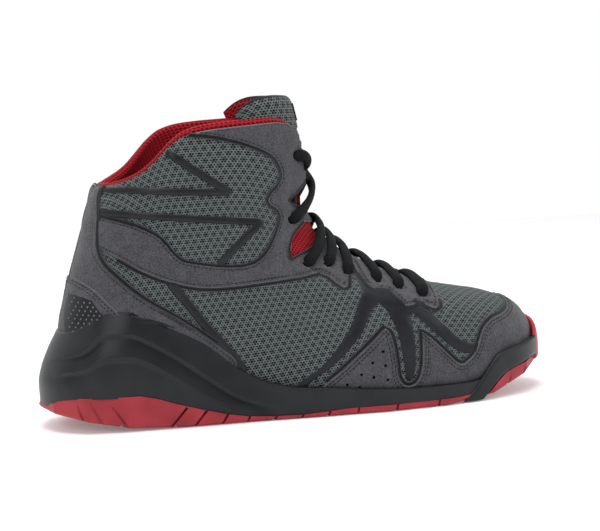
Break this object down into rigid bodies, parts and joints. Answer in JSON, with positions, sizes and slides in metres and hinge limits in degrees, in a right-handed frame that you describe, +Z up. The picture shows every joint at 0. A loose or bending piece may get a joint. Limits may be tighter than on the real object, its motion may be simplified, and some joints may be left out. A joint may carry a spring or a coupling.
{
  "type": "boxing boot",
  "caption": "Right high-top boxing boot with mesh and suede upper, padded collar and tongue, laces, foam midsole and wrapped rubber tread.",
  "frame": {"origin": "on the ground, under the middle of the boot's own box", "axes": "+X from heel to toe, +Y to the inner (medial) side of the foot, +Z up"},
  "size_m": [0.2998, 0.1018, 0.1779],
  "materials": {
    "red_rubber": "satin",
    "black_foam": "satin",
    "black_rubber": "satin",
    "sockliner": "matte",
    "grey_mesh": "matte",
    "grey_suede": "matte",
    "dark_film": "satin",
    "red_mesh": "matte",
    "black_lace": "matte"
  },
  "bodies": {
    "root": {"outsole": "red_rubber", "midsole": "black_foam", "toe_foxing_lateral": "black_rubber", "toe_foxing_medial": "black_rubber", "insole": "sockliner", "upper": "grey_mesh", "heel_counter": "grey_suede", "toe_guard": "grey_suede", "ankle_band_lateral": "grey_suede", "ankle_band_medial": "grey_suede", "lace_stay_lateral": "grey_suede", "lace_stay_medial": "grey_suede", "web_lateral": "dark_film", "web_medial": "dark_film", "ankle_bar_upper_lateral": "dark_film", "ankle_bar_upper_medial": "dark_film", "ankle_bar_lower_lateral": "dark_film", "ankle_bar_lower_medial": "dark_film", "quarter_bar_lateral": "dark_film", "quarter_bar_medial": "dark_film", "collar_lining": "red_mesh", "tongue": "grey_mesh", "lace_cross_1": "black_lace", "lace_cross_2": "black_lace", "lace_cross_3": "black_lace", "lace_cross_4": "black_lace", "lace_cross_5": "black_lace", "lace_cross_6": "black_lace", "lace_cross_7": "black_lace", "lace_end_lateral": "black_lace", "lace_end_medial": "black_lace"}
  },
  "joints": []
}
